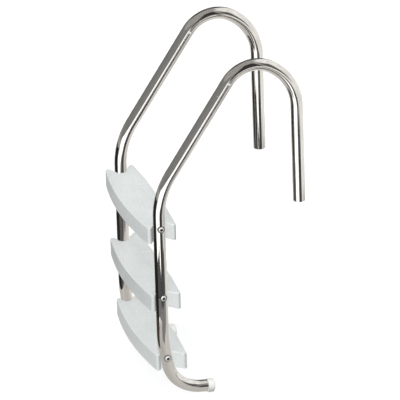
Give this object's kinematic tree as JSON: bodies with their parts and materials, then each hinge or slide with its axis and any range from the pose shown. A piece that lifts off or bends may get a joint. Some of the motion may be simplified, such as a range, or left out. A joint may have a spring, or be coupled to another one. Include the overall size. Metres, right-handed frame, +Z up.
{
  "type": "pool ladder",
  "caption": "Stainless pool ladder: bent tube rails that arch over to the deck, with moulded white treads bolted between them.",
  "frame": {"origin": "midway between the lower ends of the two deck legs, where they enter the deck anchors", "axes": "+Z up, +Y from the water to the deck, X across the ladder"},
  "size_m": [0.5626, 0.6871, 1.4326],
  "materials": {
    "rail_steel": "polished stainless steel tube",
    "fastener_steel": "machined stainless fasteners",
    "nut_steel": "plain stainless nuts inside the treads",
    "tread_plastic": "moulded white plastic with a stippled non-slip face",
    "bumper_plastic": "soft white moulded plastic"
  },
  "bodies": {
    "root": {"handrail_left": "rail_steel", "lower_rail_left": "rail_steel", "joint_rivet_left": "fastener_steel", "bumper_left": "bumper_plastic", "handrail_right": "rail_steel", "lower_rail_right": "rail_steel", "joint_rivet_right": "fastener_steel", "bumper_right": "bumper_plastic", "tread_top": "tread_plastic", "saddle_washer_top_left": "fastener_steel", "tread_screw_top_left": "fastener_steel", "tread_nut_top_left": "nut_steel", "saddle_washer_top_right": "fastener_steel", "tread_screw_top_right": "fastener_steel", "tread_nut_top_right": "nut_steel", "tread_middle": "tread_plastic", "saddle_washer_middle_left": "fastener_steel", "tread_screw_middle_left": "fastener_steel", "tread_nut_middle_left": "nut_steel", "saddle_washer_middle_right": "fastener_steel", "tread_screw_middle_right": "fastener_steel", "tread_nut_middle_right": "nut_steel", "tread_bottom": "tread_plastic", "saddle_washer_bottom_left": "fastener_steel", "tread_screw_bottom_left": "fastener_steel", "tread_nut_bottom_left": "nut_steel", "saddle_washer_bottom_right": "fastener_steel", "tread_screw_bottom_right": "fastener_steel", "tread_nut_bottom_right": "nut_steel"}
  },
  "joints": []
}
